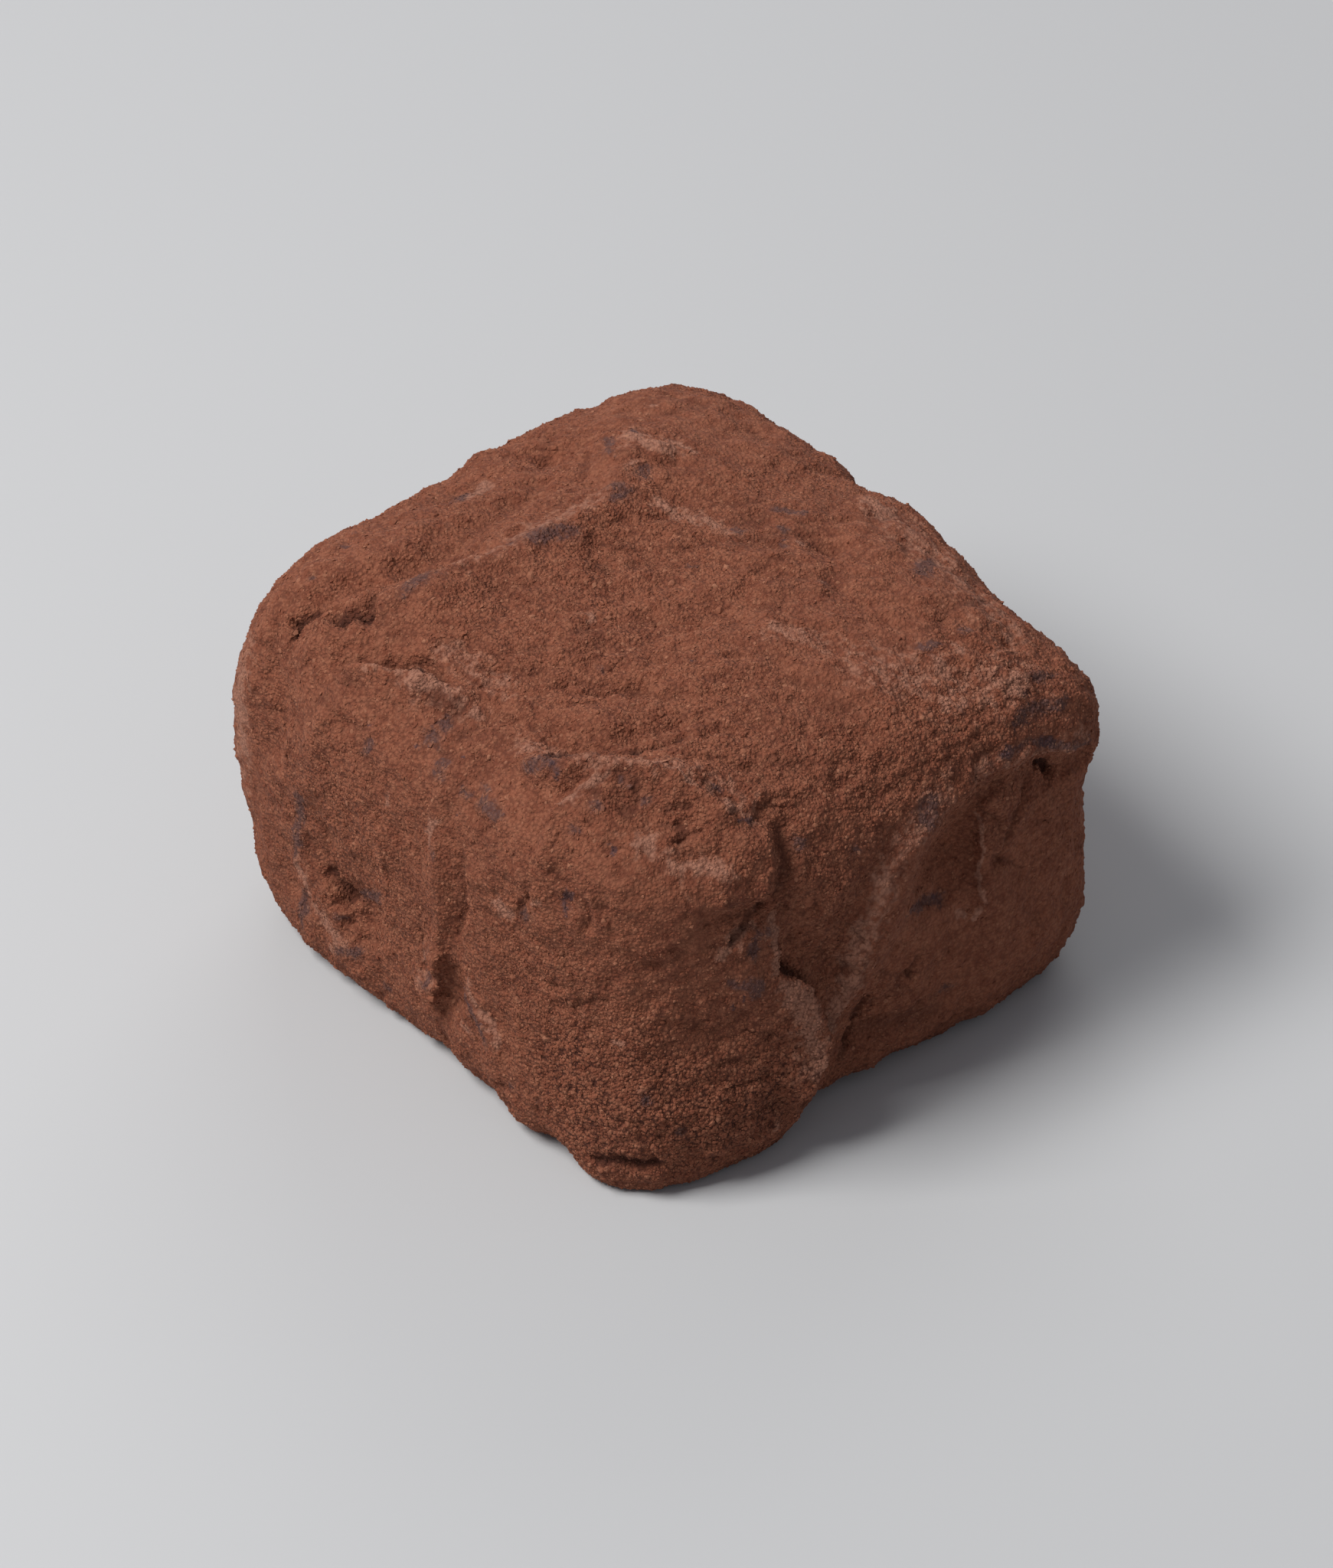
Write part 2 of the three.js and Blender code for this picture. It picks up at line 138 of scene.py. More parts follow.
# ---- The marks in the block --------------------------------------------------------------------------
# Where the ganache was pressed it tore, folded and took dents, before the cocoa went on. Cracks gape between
# two low lips. A fold or flap stands up on the left of its path, seen from outside. All sizes are in mm.
cracks = [  # path, half width, depth, and from 0 to 1 how much painted shade darkens its bottom
    # the long groove in the top, and the crack that gapes where it reaches the edge
    ([top(-8.1, 1.9), top(-8, 0.3), top(-7.8, -1.6), top(-7.4, -3.8), top(-7.2, -5.5), top(-7.1, -6.8),
      top(-6.9, -8.2)], 0.6, 0.3, 0.3),
    ([top(-6.5, -3.2), top(-6.2, -4.4), top(-6.4, -5.2), top(-6.4, -6), top(-7, -7.4), top(-6.8, -8.3)],
     0.2, 0.16, 0.3),
    ([top(-6.8, -8.3), top(-6.6, -9), top(-6.4, -9.5)], 0.18, 0.35, 0.6),
    ([top(-5.8, -9), top(-6.2, -9.4), top(-6.6, -9.6), top(-6.9, -10), top(-7.4, -10), top(-7.8, -10.3)],
     0.44, 1.3, 1),
    ([top(-8, -9.8), top(-8.5, -10), top(-8.9, -10.6), front(-8.8, 14.9), front(-8.6, 14.4),
      front(-8.2, 14)], 0.18, 0.4, 0.9),
    ([front(-8, 13.9), front(-7.6, 13), front(-7.1, 12), front(-7, 11), front(-7.2, 10), front(-7.6, 9.2)],
     0.16, 0.2, 0.4),
    ([top(-6.9, 1.5), top(-7.5, 2.3), top(-8.3, 3), top(-8.7, 3.5)], 0.25, 0.24, 0.4),
    # the dark crease over the rim of the lobe at the left of the front
    ([top(-1.1, -9.3), top(-2.2, -9.3), top(-3.2, -9.8), top(-4.5, -10.6), front(-5.9, 15.2)],
     0.32, 0.34, 0.5),
    # the hooked crease behind the front corner, and the wipe marks beside it
    ([top(3, -8.8), top(4.4, -8.2), top(5.4, -7.6), top(6, -6.2), top(6.2, -4.8), top(6.3, -3.5)],
     0.5, 0.28, 0.28),
    ([top(4.5, -8.4), top(5.3, -8.1), top(5.7, -7.5), top(6.1, -6.8), top(6.3, -6.4)], 0.15, 0.25, 0.6),
    ([top(5.8, -2.8), top(5.1, -3.7), top(4.4, -4.2), top(3.5, -4.5), top(3.1, -5.1), top(2.4, -6)],
     0.3, 0.2, 0.35),
    ([top(-0.5, -10.4), top(1, -9.4), top(2.3, -8.3)], 0.4, 0.2, 0.3),
    ([top(4.3, -9.6), top(4.8, -9.1), top(5.5, -8.4), top(6.2, -7.5), top(6.7, -6.4), top(7, -5.2),
      top(7.1, -4.3)], 0.26, 0.4, 0.9),
    ([top(2.5, -6), top(3, -5.2), top(3.6, -4.5), top(4.6, -3.8)], 0.24, 0.16, 0.4),
    ([top(-1.2, -8.1), top(-0.5, -7.8), top(0.2, -7.2)], 0.2, 0.16, 0.4),
    ([top(-3.4, -10.4), top(-2.4, -10), top(-1.7, -9.6), top(-1.2, -9.3)], 0.12, 0.2, 0.8),
    ([top(-5, -11), top(-4.2, -10.4), top(-3.2, -9.5), top(-2.2, -8.8)], 0.13, 0.16, 0.5),
    ([top(1.2, -5.2), top(1.7, -3.6), top(2, -2.2), top(2.8, 0.9)], 0.5, 0.16, 0.2),
    ([top(4.5, -1), top(5.2, -0.3)], 0.2, 0.12, 0.3),
    ([top(1.4, -6.7), top(2, -6)], 0.2, 0.14, 0.4),
    ([top(6.3, -4.1), top(7, -3.5)], 0.2, 0.12, 0.3),
    ([top(7.4, -3.6), top(8.1, -2.9)], 0.2, 0.12, 0.3),
    ([top(-0.6, -7.6), top(0, -8.4)], 0.2, 0.14, 0.3),
    # the head of the front corner
    ([top(10.7, -6.6), top(10.5, -7), top(10.4, -7.5), top(10.2, -8)], 0.12, 0.24, 0.5),
    ([top(9.9, -6.5), top(9.5, -6.9), top(9.3, -7.2)], 0.14, 0.24, 0.5),
    ([front(6.6, 13.2), front(6.5, 12.6), front(6.3, 11.6), front(6.2, 10.9)], 0.2, 0.16, 0.35),
    ([front(8.8, 13.4), front(9.1, 12.4), front(9, 11.6)], 0.2, 0.14, 0.3),
    # the fold behind the front corner, which ends in a dark slit, and the tear beside its flap
    ([right(-3.8, 15.2), right(-3.9, 14.4), right(-4.1, 13.6), right(-4.6, 12.7), right(-5, 12)],
     0.44, 0.3, 0.5),
    ([right(-5.2, 12.5), right(-5.7, 12), right(-6.1, 11.5), right(-6.7, 11.2), right(-7, 11)],
     0.24, 0.32, 0.6),
    ([right(-4.7, 9.5), right(-4.5, 9.1), right(-4, 8.3), right(-3.5, 7.4), right(-3.1, 6.4)],
     0.2, 0.3, 0.7),
    ([right(-2.8, 6.2), right(-2.6, 4.8), right(-2.9, 3.4), right(-3.6, 2.2), right(-4, 1)],
     0.5, 0.34, 0.5),
    ([right(-0.3, 5.6), right(-0.6, 4.6), right(-0.8, 3.6), right(-1.1, 2.6), right(-1.4, 1.6)],
     0.2, 0.2, 0.6),
    ([right(1.7, 6.6), right(1.4, 6.1), right(1.2, 5.4)], 0.14, 0.16, 0.6),
    ([right(-1.4, 3.4), right(0.8, 3.3), right(3.6, 2.6)], 0.9, 0.2, 0.45),
    # the right side: the groove beside the flake, and the slit under the far lip
    ([right(7.6, 11.8), right(7.1, 11), right(6.5, 10), right(6, 9.2), right(5.5, 8.4)], 0.2, 0.24, 0.5),
    ([right(-0.9, 14.5), right(0.8, 14.4), right(2.5, 14.2), right(4.2, 14), right(6.2, 13.9)],
     0.6, 0.14, 0.3),
    ([right(5.3, 12.5), right(4.8, 11.5)], 0.2, 0.12, 0.3),
    ([right(8, 11.9), right(8.5, 11.6), right(8.9, 11.1)], 0.17, 0.4, 1),
    ([right(8.6, 11.2), right(9.2, 11), right(9.8, 11.1)], 0.3, 0.12, 0.3),
    # the fold in the front side, the trough by the left foot, and the crease of the front foot
    ([front(2.8, 12.9), front(3, 11.6), front(3, 10.4), front(2.8, 8.9), front(2.6, 7.4)],
     0.36, 0.26, 0.35),
    ([front(2.8, 6.4), front(2.8, 5.2), front(2.7, 4)], 0.3, 0.14, 0.2),
    ([front(3, 14.3), front(3.6, 14), front(4.3, 13.8)], 0.3, 0.16, 0.35),
    ([front(-5.6, 5.9), front(-5, 5.4), front(-4.5, 5), front(-4.1, 4.6)], 0.4, 0.5, 0.6),
    ([front(9.7, 1.4), front(10.3, 1.4), front(11.1, 1.7), right(-10.6, 1.7), right(-9.7, 1.8)],
     0.26, 0.34, 0.8),
    # the back and left sides
    ([back(-2.3, 14.4), back(-1.9, 12.8), back(-1.7, 11), back(-2.2, 9.2), back(-2.6, 7.5),
      back(-1.9, 4.8)], 0.3, 0.3, 0.5),
    ([back(4.2, 13.2), back(5.4, 12.6), back(6.6, 12.2), back(8, 12.4), back(9.4, 12.7)], 0.24, 0.45, 0.8),
    ([back(6.4, 8.4), back(5.9, 7), back(6.2, 5.6)], 0.2, 0.18, 0.4),
    ([back(-8.8, 6.4), back(-8, 5.2), back(-7.8, 3.8)], 0.24, 0.24, 0.5),
    ([left(1.1, 13.6), left(0.8, 12), left(0.5, 10.5), left(1, 8.6), left(1.3, 7), left(0.9, 5)],
     0.3, 0.3, 0.5),
    ([left(-9.8, 11.3), left(-8.6, 11.9), left(-7.4, 12.2), left(-6.4, 11.9), left(-5.3, 11.9)],
     0.24, 0.45, 0.8),
    ([left(6.8, 9.8), left(7.4, 8.4), left(7.1, 6.8)], 0.2, 0.2, 0.4),
    ([left(-4.4, 4.8), left(-3.6, 3.4)], 0.22, 0.18, 0.4),
]
folds = [  # path, rise, half width of the edge, how far the rise fades
    # the raised plateau in the top, and the rims that stand round the front corner's head and the lobe
    ([top(-7.6, 3.8), top(-6.4, 2.7), top(-5.2, 1.4), top(-5.1, 0), top(-5.2, -2), top(-5.4, -4),
      top(-5.8, -6.4), top(-6.1, -8.4)], 0.5, 0.5, 1.5),
    ([right(-4.6, 15.2), right(-5.2, 15.5), top(10.6, -5.6), top(9.9, -5.8), top(9, -6.2), top(8.2, -6.8),
      top(7.4, -7.3), top(6.8, -8.4), top(6.4, -9.6), top(6.2, -10.7), front(6.7, 14.7), front(6.6, 13.4)],
     0.34, 0.2, 0.8),
    ([top(-1.4, -9.4), top(-1.9, -9.5), top(-2.7, -9.8), top(-3.5, -10.3), top(-4.4, -10.8),
      front(-5.4, 15.2)], 0.3, 0.2, 0.9),
    # the flap that wraps the front corner, the flake in the right side, and the lip over it
    ([right(-5, 2.7), right(-4.3, 3), right(-3.6, 4.1), right(-3.1, 5.2), right(-3.2, 6.3),
      right(-3.6, 7.3), right(-4.2, 8.3), right(-5, 9)], 0.6, 0.16, 1.1),
    ([right(6.6, 12.3), right(6, 12.3), right(5.5, 11.9), right(5.1, 11.1), right(5, 9.5), right(4.8, 7.9),
      right(4.6, 6.5)], 0.16, 0.14, 0.9),
    ([right(5.6, 13.4), right(7, 13.1), right(8.4, 12.7), right(9.6, 12.3), right(10.7, 11.8)],
     0.2, 0.2, 0.8),
    # the front side: the edge beside the fold, the ridge to its right, and the lip by the left foot
    ([front(1.2, 3), front(1.5, 4.4), front(1.8, 5.8), front(2.1, 7.2)], 0.26, 0.2, 0.8),
    ([front(5.6, 3.4), front(5, 4.2), front(4.4, 4.8), front(3.6, 5.2), front(3, 5.8)], 0.2, 0.18, 0.8),
    ([front(-3.9, 4.1), front(-4.5, 4.5), front(-5, 5), front(-5.6, 5.3)], 0.26, 0.2, 0.8),
    ([front(6.2, 10.6), front(6.3, 11.6), front(6.5, 12.6)], -0.12, 0.2, 0.6),
    # the back and left sides
    ([back(-1.9, 4.8), back(-2.6, 7.5), back(-2.2, 9.2), back(-1.7, 11), back(-2.3, 14.4)],
     0.16, 0.24, 1.0),
    ([left(2.2, 2.4), left(1, 3.8), left(1.4, 7.2), left(0.6, 10.5), left(1.2, 13.8)], 0.2, 0.24, 1.0),
    ([back(9.6, 6.5), back(8.4, 5.6), back(7.8, 4.2), back(8.2, 2.8)], 0.22, 0.2, 1.0),
]
ridges = [  # path, half width, rise
    # crumbs on the rim behind the front corner and at the far left edge, and a low rib in the front side
    ([top(2.8, -9.2), top(3.4, -9.6), top(4.3, -9.7), top(5, -9.5), top(5.8, -9.1)], 0.16, 0.1),
    ([top(-10.9, 2.6), top(-10.2, 2.8), top(-9.7, 2.9)], 0.3, 0.16),
    ([front(-5.6, 13.6), front(-5.5, 12.4), front(-5.4, 11.4)], 0.3, 0.1),
    # the lip under the far end of the right edge, and the stripe that runs down from it, crest and bulk
    ([right(4.6, 13.6), right(5.8, 13.2), right(7.4, 12.9), right(8.9, 12.5), right(9.9, 12.4),
      right(11.2, 12)], 0.36, 0.3),
    ([right(6.8, 13.2), right(4.9, 13.2), right(3.3, 13.2), right(2.2, 12.8), right(1.2, 12.3),
      right(0.1, 11.6), right(-0.5, 10.4), right(-1, 9), right(-1.6, 7.7), right(-1.9, 6.1), right(-2.6, 5),
      right(-3.4, 3.8), right(-4.2, 2.4)], 0.4, 0.3),
    ([right(6.4, 12.9), right(4.6, 12.9), right(2.8, 12.4), right(1.3, 11.4), right(0.3, 10.2),
      right(-0.4, 8.8), right(-1, 7.4), right(-1.4, 6), right(-2.1, 4.8), right(-3, 3.2)], 1, 0.7),
    # the bulge of the front corner towards the right side, and the column below it
    ([right(-5.1, 15.4), right(-5.3, 14.4), right(-5.8, 13.2), right(-6.2, 12.2)], 0.9, 0.6),
    ([right(-4.6, 15.4), right(-4.8, 14.3), right(-5.2, 13.2), right(-5.7, 12.4)], 0.36, 0.32),
    ([right(-5.3, 11.7), right(-5, 10.6), right(-5.1, 9.7), right(-5.2, 9.1)], 0.6, 0.5),
    # the edges of the lobe at the left of the front
    ([front(-5.3, 11.9), front(-5, 13.1), front(-4.6, 14.2), front(-4, 15.3)], 0.4, 0.16),
    ([top(-4.9, -11.5), top(-3.6, -10.8), top(-2, -10.3), top(-1.3, -10), top(-0.5, -9.6)], 0.2, 0.14),
    # the rib beside the fold in the front side
    ([front(1.3, 13.3), front(1.8, 11.8), front(1.8, 9.9), front(1.8, 8), front(1.6, 5.8), front(1.3, 4)],
     0.5, 0.4),
    ([front(1.8, 7.2), front(1.7, 5.6), front(1.5, 4)], 0.5, 0.3),
    # the rim behind the front corner, and two low swells behind it
    ([top(3, -9.6), top(4.9, -9.5), top(6.3, -8.3), top(7.6, -7.1), top(8.8, -5.9), top(10.3, -4.8)],
     0.7, 0.8),
    ([top(3.8, -7), top(4.9, -3.8), top(6, -1)], 0.6, 0.16),
    ([top(6.5, -2.2), top(7.4, 0.4), top(7.9, 3.3)], 0.8, 0.14),
    # the sharp rim of the lobe, and the edge of the flake in the right side
    ([front(-5.9, 14.3), front(-5.4, 15), top(-4.3, -11.1), top(-2.9, -10.4), top(-1.8, -10),
      top(-0.9, -9.8)], 0.28, 0.2),
    ([right(5.2, 11.7), right(5, 9.9), right(4.8, 8.3), right(4.7, 6.5)], 0.13, 0.14),
    # where the block swells, and small crumbs
    ([front(-11.6, 13), front(-12, 8), front(-11.6, 4)], 2, 0.24),
    ([front(0.9, 5), front(1.1, 3.4)], 0.5, 0.45),
    ([right(10.6, 11.6), right(11.4, 10.6), right(11.8, 9)], 1, 0.45),
    ([right(-3, 0.8), right(-0.8, 1), right(1.5, 1)], 0.9, 0.4),
    ([top(-2.4, -10.4), top(-1.4, -10.1), top(-0.4, -9.7), top(0.4, -9.4)], 0.45, 0.3),
    ([right(-6.5, 14.6), right(-6.9, 13.6), right(-6.6, 12.4)], 0.6, 0.3),
    ([right(-5, 2.1), right(-5.9, 2), right(-6.8, 1.2)], 0.22, 0.12),
    ([top(-6.8, 4.6), top(-6, 4.9), top(-5.6, 5.4)], 0.35, 0.16),
    ([top(-1.6, 3.9), top(-2.6, 3.8), top(-3.6, 3.3)], 0.22, 0.1),
    ([top(7, 5.4), top(7.8, 6.6), top(9, 7)], 0.3, 0.1),
]
pits = [  # place, reach, depth
    # broad hollows
    (front(-3, 4.8), 1.3, 0.45), (top(10.6, 9.6), 2, 0.3), (top(-11, 0), 2, 0.3),
    (right(3.8, 9.6), 1.2, 0.34), (right(2.4, 9.6), 0.7, 0.12), (top(-2, 1.4), 1.4, 0.12),
    (top(3.4, -7.4), 0.8, 0.1),
    # small pits
    (top(9.3, -7.3), 0.3, 0.2), (top(9, -8.1), 0.25, 0.18), (top(2.1, 6.6), 0.5, 0.24),
    (top(4.5, 5.2), 0.4, 0.22), (top(4, 5.4), 0.25, 0.12), (top(4.3, 4.6), 0.25, 0.12),
    (top(-9.7, 2.2), 0.4, 0.24), (top(-10.5, 1.8), 0.3, 0.16), (top(-6.4, 4.4), 0.26, 0.16),
    (top(-5.3, 5), 0.34, 0.22), (top(-8.2, 8.5), 0.4, 0.08), (top(-2.1, 6.7), 0.25, 0.1),
    (top(-1.6, 6.5), 0.2, 0.1), (top(10.4, 6.3), 0.3, 0.2), (top(9.6, 9.2), 0.32, 0.18),
    (top(10.5, 3.7), 0.25, 0.1), (top(3.2, 4.3), 0.2, 0.1), (top(0.4, 0.6), 0.22, 0.1),
    (top(1, 0.9), 0.16, 0.08), (top(-8.6, -3.5), 0.34, 0.12), (top(-10.1, -10.2), 0.35, 0.12),
    (top(-1.6, -2.4), 0.25, 0.08), (top(-1.2, -4.4), 0.22, 0.08), (top(-3.5, -7.6), 0.3, 0.08),
    (top(7.5, -4.1), 0.24, 0.18), (top(-1.5, -9.4), 0.24, 0.24), (top(0.1, -8.9), 0.2, 0.22),
    (top(9, -7.8), 0.2, 0.16), (top(9.1, -9.7), 0.3, 0.12), (top(1.2, 9.9), 0.3, 0.14),
    (front(8.2, 12.8), 0.25, 0.14), (front(-3.8, 11.2), 0.5, 0.08), (front(-2.9, 14.7), 0.25, 0.1),
    (front(-7.9, 4.2), 0.26, 0.16), (front(-7.7, 3.4), 0.36, 0.22), (front(3.9, 4), 0.22, 0.12),
    (front(4.4, 3.8), 0.18, 0.1), (right(3.3, 5.6), 0.2, 0.14), (front(9.6, 13), 0.22, 0.12),
    (front(5.6, 13.6), 0.22, 0.1), (right(-4.5, 9.1), 0.26, 0.3), (right(-9.4, 10.6), 0.25, 0.1),
    (right(-9.8, 8.2), 0.34, 0.1), (right(-9.2, 6.9), 0.3, 0.14), (right(-9.9, 6.5), 0.24, 0.12),
    (right(-6.5, 1.5), 0.26, 0.14), (right(-7.9, 1.4), 0.24, 0.14), (right(-1.1, 2.9), 0.24, 0.22),
    (right(1.2, 5.8), 0.2, 0.14), (right(3.4, 5.5), 0.22, 0.14), (right(5.3, 14.7), 0.2, 0.16),
    (right(9.2, 4.6), 0.35, 0.06), (right(3.3, 8.4), 0.3, 0.08), (right(2.3, 8.8), 0.3, 0.08),
    (right(3.9, 10.2), 0.5, 0.12), (right(1.2, 7), 0.3, 0.08), (back(-5.2, 12.4), 0.35, 0.2),
    (back(1.8, 10.6), 0.3, 0.18), (back(9.6, 9.2), 0.4, 0.2), (back(3, 3.2), 0.3, 0.16),
    (back(-9.6, 10.2), 0.3, 0.14), (back(0.6, 7), 0.24, 0.12), (left(8.6, 12.2), 0.35, 0.2),
    (left(-1.6, 9), 0.3, 0.16), (left(4.2, 4.2), 0.36, 0.2), (left(-6.4, 7.4), 0.3, 0.16),
    (left(9.6, 3.6), 0.3, 0.14), (left(-9.2, 2.6), 0.26, 0.12),
]


def split_near_marks(shape):
    """Halves the skin's faces along the marks that have a sharp edge."""
    soft_width, reach = 0.3, 0.42  # mm, of a fold's edge, and from a mark to the faces that are split
    sharp = [path for path, *_ in cracks] + [path for path, _, width, _ in folds if width < soft_width]
    stretch_ends = np.concatenate([np.repeat(path, 2, 0)[1:-1] for path in sharp]).tolist()
    stretches = [(end, end + 1, end + 1) for end in range(0, len(stretch_ends), 2)]
    marked = BVHTree.FromPolygons(stretch_ends, stretches)
    close = {v for v in shape.verts if marked.find_nearest(v.co / mm, reach)[0]}
    edges = [e for e in shape.edges if e.verts[0] in close and e.verts[1] in close]
    bmesh.ops.subdivide_edges(shape, edges=edges, cuts=1, use_grid_fill=True)
    bmesh.ops.triangulate(shape, faces=[f for f in shape.faces if 4 < len(f.verts) < 9])  # not the base's


edit_mesh(coat, split_near_marks)
for face in coat.data.polygons:
    face.use_smooth = True
coat.data.update()
spots = read_values(coat.data.vertices, "co", 3) / mm
facing = read_values(coat.data.vertices, "normal", 3)


def wave(points, size, seed):
    """Smooth noise from about -1 to 1, one value for each point. Its swells are about a size in mm."""
    shift = Vector((seed * 17.3, seed * 5.1, seed * 11.7))
    return np.array([noise.noise(Vector(p) / size + shift) for p in points])


def fading(distance, reach):
    """From 1 at no distance to almost 0 at twice the reach."""
    return np.exp(-((distance / reach) ** 2))


def stepping(value, low, high):
    """From 0 up to the low value to 1 from the high one on."""
    share = np.clip((value - low) / (high - low), 0, 1)
    return share * share * (3 - 2 * share)


# No mark runs straight: its place wanders by these amounts, in mm.
wander = np.stack([0.14 * wave(spots, 0.9, 20 + i) + 0.07 * wave(spots, 0.35, 30 + i) for i in range(3)], 1)


def trace(path, reach, stray=1.0):
    """The skin's points near a path: how far off it, how far left of it and how far along it they lie."""
    path = np.array(path)
    wandered = spots + stray * wander
    inside = (wandered > path.min(0) - reach) & (wandered < path.max(0) + reach)
    chosen = np.flatnonzero(inside.all(1))
    here, out = wandered[chosen], facing[chosen]
    runs = np.diff(path, axis=0)
    lengths = np.linalg.norm(runs, axis=1)
    nearest = np.full(len(chosen), np.inf)
    across, along = np.zeros(len(chosen)), np.zeros(len(chosen))
    for start, run, length, passed in zip(path, runs, lengths, np.cumsum(lengths) - lengths):
        share = np.clip((here - start) @ run / length**2, 0, 1)
        gap = here - start - share[:, None] * run
        gap -= out * (gap * out).sum(1)[:, None]
        distance = np.linalg.norm(gap, axis=1)
        nearer = distance < nearest
        nearest[nearer] = distance[nearer]
        across[nearer] = (gap * np.cross(out, run)).sum(1)[nearer] / length
        along[nearer] = (passed + share * length)[nearer] / lengths.sum()
    return chosen, nearest, across, along


def tapered(along, lead=0.18):
    """From 1 to almost 0 at both ends of a path, over a share of its length."""
    return stepping(np.minimum(along, 1 - along), -0.02, lead)


lip_place, lip_rise = 2.1, 0.18  # of a crack's half width and of its depth
height = np.zeros(len(spots))
shade = np.zeros(len(spots))  # painted shade: how much a crack's bottom, a pit or a hollow is hidden from the light, laid on as darker colour
lean = np.clip(0.8 + 0.5 * wave(spots, 1.6, 5), 0.45, 1.3)  # cracks are deeper in some places than in others
ragged = 1 + 0.5 * wave(spots, 0.6, 9) + 0.3 * wave(spots, 0.28, 10)  # and they and the pits wider
for path, width, depth, dark in cracks:
    chosen, distance, _, along = trace(path, 5 * width)
    strength = tapered(along) * lean[chosen]
    distance /= np.clip(ragged[chosen], 0.5, 1.6)
    height[chosen] -= depth * strength * fading(distance, width)
    height[chosen] += lip_rise * depth * strength * fading(distance - lip_place * width, width)
    # Painted shade over the crack's bottom and its walls.
    painted_crack_shade = dark * np.minimum(1.5 * strength, 1) * fading(distance, 1.1 * width)
    shade[chosen] = np.maximum(shade[chosen], painted_crack_shade)
for path, rise, width, fade in folds:
    chosen, distance, across, along = trace(path, 2 * fade)
    height[chosen] += rise * tapered(along) * stepping(across, -width, width) * fading(distance, fade)
for path, width, rise in ridges:
    chosen, distance, _, along = trace(path, 3 * width)
    height[chosen] += rise * tapered(along, 0.3) * fading(distance, width)
dark_depth, dark_reach = 0.4, 0.3  # mm: a pit gets painted shade where it is deep and narrow
for place, reach, depth in pits:
    distance = np.linalg.norm(spots + 1.6 * wander - place, axis=1) / np.clip(ragged, 0.6, 1.5)
    height -= depth * fading(distance, reach)
    darkness = min(depth / dark_depth, 1) * min(dark_reach / reach, 1)
    shade = np.maximum(shade, darkness * fading(distance, 0.8 * reach))

# ---- How the powder lies -----------------------------------------------------------------------------
# The cocoa is coarse and clumped where it was rolled, and smooth where it was pressed or wiped. In places it
# is thin, so that grey-brown ganache shows. In others it is pressed into a pale cake, and on lit rims,
# ridges and slopes it is painted pale as a highlight. Small dark specks are bare.


def spread(patches):
    """From 0 to 1, how much each point of the skin lies in any of the patches: a path and a reach each."""
    cover = np.zeros(len(spots))
    least_run = np.array([0.02, 0.01, 0.01])  # a patch at one point is a very short path
    patch_stray = 2.4  # edges wander more than those of marks do
    for path, reach in patches:
        if len(path) == 1:
            path = [path[0], path[0] + least_run]
        chosen, distance, _, _ = trace(path, 3 * reach, patch_stray)
        cover[chosen] = np.maximum(cover[chosen], fading(distance, reach))
    return cover


crumbly = spread([(path, 2.2 * width) for path, width, _, dark in cracks if dark > 0.5])
coarse = spread([
    ([right(-10.5, 6), right(-8, 3), right(-5.5, 5)], 2.6), ([right(-9.6, 3), right(-7, 2.6)], 2.2),
    ([right(-3, 13), right(-2.6, 10), right(-2.8, 8)], 1.6),
    ([right(0, 14.4), right(5, 14.6), right(8, 14.6)], 1.3),
    ([top(11.4, 1), top(11.2, 5), top(11, 8)], 1.8), ([top(-3, 0), top(3, -3), top(8, -4)], 3.4),
    ([top(-3, -6), top(2, -6.5)], 2.6), ([top(1, 2.6), top(-3, 2.2)], 1.8),
    ([front(-3, 11), front(-2, 7)], 2.6), ([front(7, 8), front(9, 4)], 2.6),
    ([back(-4, 9), back(4, 10)], 3), ([left(-4, 9), left(5, 8)], 3),
])
pressed = spread([
    ([top(8.2, 1)], 1.1), ([top(7.5, 5)], 1.2), ([top(0.8, 3.5)], 0.8),
    ([top(-6.6, 2.6), top(-5.4, 1.2), top(-5.3, -1.5), top(-5.6, -5)], 0.6),
    ([right(1.5, 9), right(6.5, 6), right(4, 3)], 2.4), ([right(9, 8), right(9.5, 4)], 2.4),
    ([right(-0.4, 10), right(1.6, 12)], 1), ([front(-11.3, 10), front(-10.6, 4)], 1.4),
    ([right(-8.8, 6.9)], 0.5), ([right(-8.4, 12.6), top(9.4, -9.6)], 1.3), ([top(-9, 7), top(-6, 9)], 2.2),
    ([top(2, 9.6), top(8, 10)], 1.8), ([back(9, 8), back(8, 4)], 2.2), ([left(-8, 6), left(-7, 3)], 2.2),
])
gravelly = spread([
    ([right(-10, 5), right(-8.6, 3.4), right(-6.4, 3.4)], 2.4), ([front(9, 5), front(10, 3)], 2),
])
grit = np.clip(0.45 + 0.55 * coarse - 0.6 * pressed + 0.4 * crumbly + 0.15 * wave(spots, 2.6, 8), 0.05, 1)
